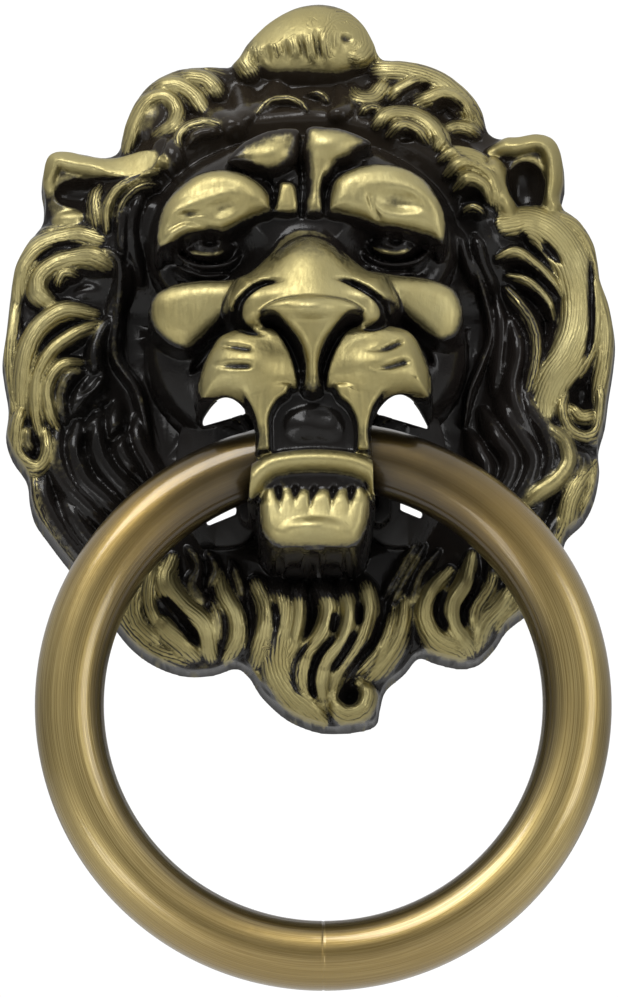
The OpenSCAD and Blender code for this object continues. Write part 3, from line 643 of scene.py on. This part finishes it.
def volume():
    h0 = halve(H).astype(np.float32)
    edge = halve(EDGE).astype(np.float32)
    px = halve(X).astype(np.float32)[:, 0]
    pz = halve(Z).astype(np.float32)[0]
    hs = np.arange(-1.2, 44.4, CELL, dtype=np.float32)
    x = px[:, None, None]
    h = hs[None, :, None]
    z = pz[None, None, :]

    def above(level):
        """The distance in front of a field of heights, small on its slopes."""
        gx, gz = np.gradient(level, CELL)
        return (h - level[:, None, :]) / np.sqrt(1 + gx**2 + gz**2)[:, None, :]

    def box(cx, half_x, cz, half_z, ch, half_h):
        beside = np.maximum(np.abs(x - cx) - half_x, np.abs(z - cz) - half_z)
        return np.maximum(beside, np.abs(h - ch) - half_h)

    def oval(cx, half_x, cz, half_z, power):
        """A rounded box seen from the front."""
        r = ((np.abs(x - cx) / half_x) ** power + (np.abs(z - cz) / half_z) ** power) ** (1 / power)
        return (r - 1) * half_x

    def add(f, g):
        np.minimum(f, g, out=f)

    def cut(f, g):
        np.maximum(f, -g, out=f)

    f = above(h0)
    np.maximum(f, DRAFT * h - edge[:, None, :], out=f)
    np.maximum(f, -h, out=f)
    cut(f, np.maximum(above(softened(eroded(h0, 2.0), 2.0) - WALL), (RIM - edge)[:, None, :]))
    # the lips are a solid block around the tunnel
    add(f, box(0.3, 10.0, -12.5, 7.5, 22.5, 10.0))
    # the tunnel the bar lies in, open to the hollow behind
    from_axis = np.sqrt((h - RING_H) ** 2 + (z - RING_Z) ** 2)
    cut(f, np.maximum(from_axis - TUNNEL_R, np.abs(x) - 19.5))
    cut(f, np.maximum(np.maximum(np.abs(z - RING_Z) - 8.0, h - RING_H), np.abs(x) - 10))
    # the way of the ring's arms, in front of the mane, over a sill
    for s in (-1, 1):
        slope = 0.5 * np.maximum(-17 - z, 0) + 0.8 * np.maximum(s * x - 17, 0)
        add(f, np.maximum(oval(s * 16.4, 7.6, -17, 12.6, 3), np.abs(h + slope - 12) - 4.4))
        cut(f, np.maximum(oval(s * 18.2, 7.6, -18.5, 10.6, 4), ARM_FLOOR - h))
    # the windows beside the lips, right through: an arch over each arm and a slit under it
    up = 0.978 * z + 0.208 * h
    for s, cx, half, top, foot, slit_x, slit_half, slit_up in (
            (-1, 15.5, 3.9, -0.6, -4.4, 0.5, 2.7, -21.2), (1, 15.9, 4.9, -0.1, -4.6, 1.75, 2.0, -19.7)):
        side = s * x - cx
        arch = np.maximum(foot - 0.29 * side - up, up - top + 0.19 * (side + 0.5)**2)
        cut(f, np.maximum(arch, np.abs(side) - half))
        cut(f, np.maximum(np.abs(side - slit_x) - slit_half, np.abs(up - slit_up + 0.41 * side) - 0.7))
    # the saddle under the bar
    add(f, np.maximum(box(RING_X, 3.5, -24, 8, 24, 9), SADDLE_R - from_axis))
    # the bosses, and the holes for the studs
    under_skin = h - h0[:, None, :] + BOSS_SKIN
    for bz in BOSS_Z:
        r = np.sqrt(x**2 + (z - bz) ** 2)
        add(f, np.maximum(np.maximum(r - BOSS_R, np.abs(h - 6.25) - 5.75), under_skin))
        cut(f, np.maximum(np.maximum(r - HOLE_R, h - HOLE_TOP), under_skin))
    return np.clip(f, -SPAN, SPAN).astype(np.float32), px, pz, hs


def sampled(a, co):
    """The painting's value at points given in mm."""
    u = np.clip((co[:, 0] - X0) / PITCH, 0, a.shape[0] - 1.001)
    v = np.clip((co[:, 2] - Z0) / PITCH, 0, a.shape[1] - 1.001)
    i, k = u.astype(int), v.astype(int)
    fu, fv = u - i, v - k
    return (a[i, k] * (1 - fu) * (1 - fv) + a[i + 1, k] * fu * (1 - fv)
            + a[i, k + 1] * (1 - fu) * fv + a[i + 1, k + 1] * fu * fv)


def mesh_object(name, verts, faces):
    """A smooth mesh object. verts is in metres, and all faces have the same number of corners."""
    mesh = bpy.data.meshes.new(name)
    mesh.vertices.add(len(verts))
    mesh.vertices.foreach_set("co", np.asarray(verts, np.float32).ravel())
    n, m = faces.shape
    mesh.loops.add(n * m)
    mesh.loops.foreach_set("vertex_index", faces.astype(np.int32).ravel())
    mesh.polygons.add(n)
    mesh.polygons.foreach_set("loop_start", np.arange(0, n * m, m, dtype=np.int32))
    mesh.polygons.foreach_set("use_smooth", np.ones(n, bool))
    mesh.update(calc_edges=True)
    mesh.validate()
    ob = bpy.data.objects.new(name, mesh)
    bpy.context.scene.collection.objects.link(ob)
    return ob


def colours(mesh, name, values):
    mesh.attributes.new(name, "FLOAT_COLOR", "POINT").data.foreach_set("color", values.ravel())


def make_mask():
    """The mask's one mesh, with what its material needs to know at each point."""
    f, px, pz, hs = volume()
    grid = openvdb.FloatGrid(SPAN)
    grid.copyFromArray(f)
    points, _, quads = grid.convertToPolygons(isovalue=0.0, adaptivity=0.0)
    verts = np.empty_like(points)
    verts[:, 0] = px[0] + points[:, 0] * CELL
    verts[:, 1] = -(hs[0] + points[:, 1] * CELL)
    verts[:, 2] = pz[0] + points[:, 2] * CELL
    # the array runs x, h, z and h is -y, so the faces turn over
    ob = mesh_object("mask_face", verts * 0.001, quads[:, ::-1])
    dec = ob.modifiers.new("fewer", "DECIMATE")
    dec.ratio = min(1.0, MESH_FACES / (2 * len(quads)))
    small = bpy.data.meshes.new_from_object(ob.evaluated_get(bpy.context.evaluated_depsgraph_get()))
    ob.modifiers.clear()
    ob.data = small
    small.name = "mask_face"
    n = len(small.vertices)
    co = np.empty(n * 3, np.float32)
    small.vertices.foreach_get("co", co)
    no = np.empty(n * 3, np.float32)
    small.vertices.foreach_get("normal", no)
    co, no = co.reshape(-1, 3) * 1000, no.reshape(-1, 3)
    paint = np.ones((n, 4), np.float32)
    facing = smooth(0.16, 0.5, -no[:, 1])
    inland = smooth(2.0, 6.0, sampled(EDGE, co))
    # what lies away from the painted surface is black: the mouth, the sill and the hollow
    under = smooth(1.5, 4.0, np.abs(sampled(H, co) + co[:, 1]))
    paint[:, 0] = sampled(blur(T, 0.2), co) * (1 - inland * (1 - facing)) * (1 - under)
    # the flanks of every form, turned away from the front, are painted darker than its top: painted shade
    paint[:, 0] *= 1 - 0.22 * smooth(0.92, 0.5, -no[:, 1])
    paint[:, 1] = sampled(RECESS, co)
    paint[:, 2] = no[:, 1] < 0.12
    colours(small, "paint", paint)
    # how far each point is from its lock's middle line, whether it is hair, and whether it is buried
    i = np.clip(np.round((co[:, 0] - X0) / PITCH).astype(int), 0, X.shape[0] - 1)
    k = np.clip(np.round((co[:, 2] - Z0) / PITCH).astype(int), 0, X.shape[1] - 1)
    lock = np.ones((n, 4), np.float32)
    lock[:, 0] = np.clip(0.5 + ACROSS[i, k] / 16, 0, 1)
    lock[:, 1] = HAIR[i, k] * (1 - under) * facing
    lock[:, 2] = under
    colours(small, "lock", lock)
    small.polygons.foreach_set("use_smooth", np.ones(len(small.polygons), bool))
    return ob


def make_ring():
    """The ring: a round bar with a dressed butt joint at the bottom, where a is 0."""
    n, m = 320, 48                                          # along the bar and around it
    a = np.arange(n) / n * 2 * math.pi
    a = a - 0.9 * np.sin(a)                                 # closer together at the joint
    b = np.arange(m) / m * 2 * math.pi
    arc = np.minimum(a, 2 * math.pi - a) * RING_R           # mm along the bar from the joint
    r = BAR_R - 0.09 * np.exp(-(arc / 0.2) ** 2)            # a fine groove at the joint
    A, B = np.meshgrid(a, b, indexing="ij")
    R = np.repeat(r[:, None], m, 1)
    out = RING_R + R * np.cos(B)
    up = RING_Z - RING_R - out * np.cos(A)
    verts = np.stack([RING_X + out * np.sin(A), -RING_H + R * np.sin(B), up], -1).reshape(-1, 3) * 0.001
    i, j = np.meshgrid(np.arange(n), np.arange(m), indexing="ij")
    i2, j2 = (i + 1) % n, (j + 1) % m
    faces = np.stack([i * m + j, i * m + j2, i2 * m + j2, i2 * m + j], -1).reshape(-1, 4)
    ob = mesh_object("ring_bar", verts, faces)
    paint = np.ones((n * m, 4), np.float32)
    paint[:, 0] = (0.5 - 0.5 * np.cos(A)).ravel()           # 1 at the mouth, 0 at the joint
    paint[:, 3] = (0.5 + 0.5 * np.sin(A)).ravel()           # 1 at the right, 0 at the left
    paint[:, 1] = (0.5 + 0.5 * np.cos(B)).ravel()           # 1 on the outside of the ring, 0 inside
    paint[:, 2] = (0.5 - 0.5 * np.sin(B)).ravel()           # 1 in front, 0 behind
    colours(ob.data, "paint", paint)
    return ob


# materials
class Nodes:
    """A short way to write the node tree of a material or the world."""

    def __init__(self, owner):
        self.mat = owner
        owner.use_nodes = True
        self.t = owner.node_tree
        self.shader = self.t.nodes.get("Principled BSDF")

    def add(self, kind, **props):
        n = self.t.nodes.new(kind)
        for k, v in props.items():
            setattr(n, k, v)
        return n

    def link(self, a, b):
        self.t.links.new(a, b)

    def feed(self, socket, value):
        if isinstance(value, (int, float, tuple)):
            socket.default_value = value
        else:
            self.link(value, socket)

    def put(self, name, value):
        """Set or link one of the shader's own sockets."""
        self.feed(self.shader.inputs[name], value)

    def math(self, op, a, b=0.0):
        n = self.add("ShaderNodeMath", operation=op)
        for s, v in zip(n.inputs, (a, b)):
            self.feed(s, v)
        return n.outputs[0]

    def times(self, a, b):
        return self.math("MULTIPLY", a, b)

    def plus(self, a, b):
        return self.math("ADD", a, b)

    def minus(self, a, b):
        return self.math("SUBTRACT", a, b)

    def ramp(self, v, lo, hi, to_lo=0.0, to_hi=1.0):
        n = self.add("ShaderNodeMapRange", interpolation_type="SMOOTHSTEP")
        for s, x in zip(n.inputs, (v, lo, hi, to_lo, to_hi)):
            self.feed(s, x)
        return n.outputs[0]

    def mix(self, f, a, b):
        n = self.add("ShaderNodeMix", data_type="RGBA")
        self.feed(n.inputs[0], f)
        self.feed(n.inputs[6], a)
        self.feed(n.inputs[7], b)
        return n.outputs[2]

    def mixf(self, f, a, b):
        n = self.add("ShaderNodeMix", data_type="FLOAT")
        self.feed(n.inputs[0], f)
        self.feed(n.inputs[2], a)
        self.feed(n.inputs[3], b)
        return n.outputs[0]

    def place(self, scale=(1, 1, 1)):
        c = self.add("ShaderNodeTexCoord").outputs["Object"]
        m = self.add("ShaderNodeMapping")
        m.inputs["Scale"].default_value = scale
        self.link(c, m.inputs[0])
        return m.outputs[0]

    def noise(self, vector, scale, detail, rough):
        n = self.add("ShaderNodeTexNoise")
        self.link(vector, n.inputs["Vector"])
        for name, value in (("Scale", scale), ("Detail", detail), ("Roughness", rough)):
            n.inputs[name].default_value = value
        return n.outputs[0]

    def attribute(self, name):
        a = self.add("ShaderNodeAttribute", attribute_name=name)
        s = self.add("ShaderNodeSeparateColor")
        self.link(a.outputs["Color"], s.inputs[0])
        return s.outputs[0], s.outputs[1], s.outputs[2], a.outputs["Alpha"]

    def bump(self, height, distance, strength):
        b = self.add("ShaderNodeBump")
        b.inputs["Strength"].default_value = strength
        b.inputs["Distance"].default_value = distance
        self.link(height, b.inputs["Height"])
        self.link(b.outputs[0], self.shader.inputs["Normal"])


def material(name):
    return Nodes(bpy.data.materials.new(name))


def mask_material():
    """Brass worn bright through black lacquer."""
    n = material("antique_brass_mask")
    tone, recess, front, _ = n.attribute("paint")
    here = n.place()
    fine = n.noise(here, 900, 5, 0.6)
    mottle = n.noise(here, 170, 5, 0.6)
    broad = n.noise(here, 38, 3, 0.5)
    brushed = n.noise(n.place((1, 1, 0.12)), 1500, 3, 0.6)
    # hair lines run along each lock, uneven and here and there worn away
    across, hair, buried, _ = n.attribute("lock")
    phase = n.plus(n.times(across, 16 * 2 * math.pi / 0.62), n.times(broad, 9.0))
    line = n.math("POWER", n.plus(n.times(n.math("SINE", phase), 0.5), 0.5), 2.0)
    line = n.times(line, n.times(hair, n.ramp(mottle, 0.3, 0.62, 0.25, 1.0)))
    # how much worn brass shows through the lacquer
    show = n.minus(tone, n.times(recess, 0.75))
    show = n.minus(show, n.times(line, 0.42))
    rag = n.times(n.minus(mottle, 0.5), 0.34)
    rag = n.plus(rag, n.times(n.minus(fine, 0.5), 0.4))
    show = n.plus(show, rag)
    worn = n.ramp(show, 0.16, 0.62)
    # walls and the back are rough casting, in dull dark brass
    worn = n.mixf(front, 0.36, worn)
    gold = n.mix(n.ramp(broad, 0.35, 0.65), (0.305, 0.262, 0.118, 1), (0.375, 0.33, 0.162, 1))
    gold = n.mix(n.ramp(mottle, 0.3, 0.7, 0.0, 0.3), gold, (0.27, 0.22, 0.085, 1))
    black = n.mix(n.ramp(broad, 0.3, 0.7), (0.005, 0.0045, 0.004, 1), (0.010, 0.008, 0.007, 1))
    # the black is lighter and browner towards the top, over the crown
    height_up = n.add("ShaderNodeSeparateXYZ")
    n.link(here, height_up.inputs[0])
    black = n.mix(n.ramp(height_up.outputs[2], 0.028, 0.048), black, (0.018, 0.0135, 0.009, 1))
    n.put("Base Color", n.mix(worn, black, gold))
    n.put("Metallic", n.ramp(worn, 0.1, 0.7))
    rough = n.mixf(worn, 0.17, n.ramp(brushed, 0.25, 0.75, 0.40, 0.56))
    rough = n.mixf(buried, n.mixf(front, 0.55, rough), 0.6)
    n.put("Roughness", rough)
    n.put("Specular IOR Level", 0.22)
    height = n.plus(n.times(fine, 0.6), n.times(brushed, 0.5))
    height = n.plus(height, n.times(mottle, 1.2))
    height = n.minus(height, n.times(line, 1.1))
    n.bump(height, 0.00012, 0.55)
    return n.mat


def ring_material():
    """Brushed bronze, with brown lacquer left in patches, painted shade near the mouth and a painted dark
    reflection inside the ring.
    """
    n = material("antique_bronze_ring")
    top, outer, front, right = n.attribute("paint")
    v = n.add("ShaderNodeCombineXYZ")
    n.link(n.plus(n.times(outer, 13.0), n.times(top, 0.9)), v.inputs[0])
    n.link(n.plus(n.times(front, 13.0), n.times(right, 0.9)), v.inputs[1])
    streak = n.noise(v.outputs[0], 5, 6, 0.65)
    hair = n.noise(v.outputs[0], 22, 4, 0.6)
    here = n.place()
    broad = n.noise(here, 24, 4, 0.55)
    fine = n.noise(here, 1100, 4, 0.6)
    tint = n.mix(n.ramp(streak, 0.32, 0.68), (0.215, 0.150, 0.040, 1), (0.48, 0.375, 0.155, 1))
    # brown where the lacquer has stayed on, in patches; browner towards the bottom; darker brown near the
    # mouth, painted shade
    brown = n.math("MAXIMUM", n.ramp(top, 0.55, 0.9, 0.0, 0.85), n.ramp(broad, 0.45, 0.7, 0.0, 0.35))
    brown = n.math("MAXIMUM", brown, n.ramp(top, 0.22, 0.0, 0.0, 0.6))
    tint = n.mix(brown, tint, (0.175, 0.112, 0.028, 1))
    # near black where the bar goes into the mouth: painted shade
    black = n.times(n.ramp(top, 0.84, 0.97), n.ramp(broad, 0.3, 0.6, 0.55, 1.0))
    tint = n.mix(black, tint, (0.02, 0.014, 0.007, 1))
    # darker inside the ring, a painted dark reflection, and darker behind, where hands don't rub
    dark = n.times(n.ramp(outer, 0.42, 0.04), n.ramp(streak, 0.2, 0.7, 1.0, 0.6))
    dark = n.math("MAXIMUM", dark, n.ramp(front, 0.35, 0.0, 0.0, 0.5))
    tint = n.mix(n.times(dark, 0.9), tint, (0.022, 0.014, 0.006, 1))
    n.put("Base Color", tint)
    n.put("Metallic", 1.0)
    n.put("Roughness", n.ramp(hair, 0.25, 0.75, 0.27, 0.40))
    n.put("Coat Weight", 0.8)
    n.put("Coat Roughness", 0.12)
    n.bump(n.plus(n.times(hair, 0.7), n.times(fine, 0.3)), 0.00008, 0.35)
    return n.mat


def metal(name, low, high, rough_low, rough_high, grain, stretch=(1, 1, 1)):
    """Plain turned metal for the fixings, with wear and grain."""
    n = material(name)
    here = n.place(stretch)
    g = n.noise(here, grain, 5, 0.6)
    broad = n.noise(n.place(), 90, 4, 0.6)
    n.put("Base Color", n.mix(n.ramp(broad, 0.3, 0.7), low, high))
    n.put("Metallic", 1.0)
    n.put("Roughness", n.ramp(g, 0.25, 0.75, rough_low, rough_high))
    n.bump(g, 0.00006, 0.5)
    return n.mat


def thread_material(name):
    """Zinc-plated stud: fine rings around the shank where it is threaded."""
    n = material(name)
    here = n.place()
    s = n.add("ShaderNodeSeparateXYZ")
    n.link(here, s.inputs[0])
    wave = n.math("SINE", n.times(s.outputs[1], 2 * math.pi / 0.0008))
    # the threaded ends lie inside the boss and at the nut
    ends = n.math("MAXIMUM", n.math("LESS_THAN", s.outputs[1], -0.0005),
                  n.math("GREATER_THAN", s.outputs[1], 0.038))
    grain = n.noise(n.place((1, 0.1, 1)), 1400, 4, 0.6)
    broad = n.noise(here, 120, 4, 0.6)
    zinc = n.mix(n.ramp(broad, 0.3, 0.7), (0.42, 0.41, 0.38, 1), (0.60, 0.58, 0.52, 1))
    n.put("Base Color", zinc)
    n.put("Metallic", 1.0)
    n.put("Roughness", n.ramp(grain, 0.25, 0.75, 0.26, 0.44))
    n.bump(n.plus(n.times(n.times(wave, ends), 2.5), grain), 0.00012, 0.8)
    return n.mat


mask = make_mask()
mask.data.materials.clear()
mask.data.materials.append(mask_material())
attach(mask, "mask")
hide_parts("lion_mask")

ring = make_ring()
ring.data.materials.append(ring_material())
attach(ring, "ring")
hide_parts("knocker_ring")

nut = metal("antique_brass_nut", (0.20, 0.155, 0.06, 1), (0.40, 0.33, 0.15, 1), 0.26, 0.46, 900)
dowel = metal("turned_brass", (0.42, 0.32, 0.12, 1), (0.56, 0.44, 0.18, 1), 0.22, 0.38, 1300, (0.1, 1, 1))
stud = thread_material("zinc_stud")
for node, mat in (("upper_stud", stud), ("lower_stud", stud), ("upper_washer", nut), ("lower_washer", nut),
                  ("upper_cap_nut", nut), ("lower_cap_nut", nut), ("ring_joint_dowel", dowel)):
    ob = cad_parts[node]
    ob.data.materials.clear()
    ob.data.materials.append(mat)

# stage, light and camera
floor = mesh_object("floor", np.array([[-4, -4, -0.5], [4, -4, -0.5], [4, 4, -0.5], [-4, 4, -0.5]], float),
                    np.array([[0, 1, 2, 3]]))
pale = material("pale_floor")
grain = pale.noise(pale.place(), 6, 3, 0.5)
pale.put("Base Color", pale.mix(pale.ramp(grain, 0.3, 0.7), (0.78, 0.78, 0.77, 1), (0.84, 0.84, 0.83, 1)))
pale.put("Roughness", 0.7)
floor.data.materials.append(pale.mat)

# the camera sees white, and everything else a soft sky
world = bpy.data.worlds.new("studio")
bpy.context.scene.world = world
studio = Nodes(world)
seen = studio.t.nodes["Background"]
seen.inputs["Color"].default_value = (1.0, 1.0, 1.0, 1)
seen.inputs["Strength"].default_value = 1.05
split = studio.add("ShaderNodeSeparateXYZ")
studio.link(studio.add("ShaderNodeTexCoord").outputs["Generated"], split.inputs[0])
level = studio.add("ShaderNodeMapRange")
level.inputs["From Min"].default_value = -1
studio.link(split.outputs[2], level.inputs["Value"])
sky = studio.add("ShaderNodeValToRGB")
stops = sky.color_ramp.elements
sky.color_ramp.interpolation = "EASE"
for stop, (position, value) in zip((stops[0], stops[1], stops.new(0.5)),
                                   ((0.0, 0.10), (1.0, 0.85), (0.5, 0.34))):
    stop.position = position
    stop.color = (value, value, value * 1.01, 1)
studio.link(level.outputs[0], sky.inputs[0])
soft = studio.add("ShaderNodeBackground")
studio.link(sky.outputs[0], soft.inputs["Color"])
either = studio.add("ShaderNodeMixShader")
for source, socket in zip((studio.add("ShaderNodeLightPath").outputs["Is Camera Ray"], soft.outputs[0],
                           seen.outputs[0]), either.inputs):
    studio.link(source, socket)
studio.link(either.outputs[0], studio.t.nodes["World Output"].inputs["Surface"])
bpy.context.scene.view_settings.view_transform = "Standard"


def area_light(name, place, aim, size, power):
    d = bpy.data.lights.new(name, "AREA")
    d.shape = "RECTANGLE"
    d.size, d.size_y = size
    d.energy = power
    o = bpy.data.objects.new(name, d)
    bpy.context.scene.collection.objects.link(o)
    o.location = place
    o.rotation_euler = (Vector(aim) - Vector(place)).to_track_quat("-Z", "Y").to_euler()


area_light("key", (-0.35, -0.75, 0.75), (0, 0, 0), (0.7, 0.5), 9)
area_light("fill", (0.8, -0.7, 0.1), (0, 0, -0.02), (0.4, 0.8), 3.5)
area_light("low", (-0.6, -0.7, -0.5), (0, 0, -0.02), (0.5, 0.4), 2)

camera = bpy.data.cameras.new("camera")
camera.sensor_width = 36
camera.lens = 208.35
camera.clip_start, camera.clip_end = 0.05, 20
cam = bpy.data.objects.new("camera", camera)
bpy.context.scene.collection.objects.link(cam)
cam.location = (-0.00047, -1.0095, -0.2332)
cam.rotation_euler = (math.radians(90 + 12), 0, 0)
bpy.context.scene.camera = cam
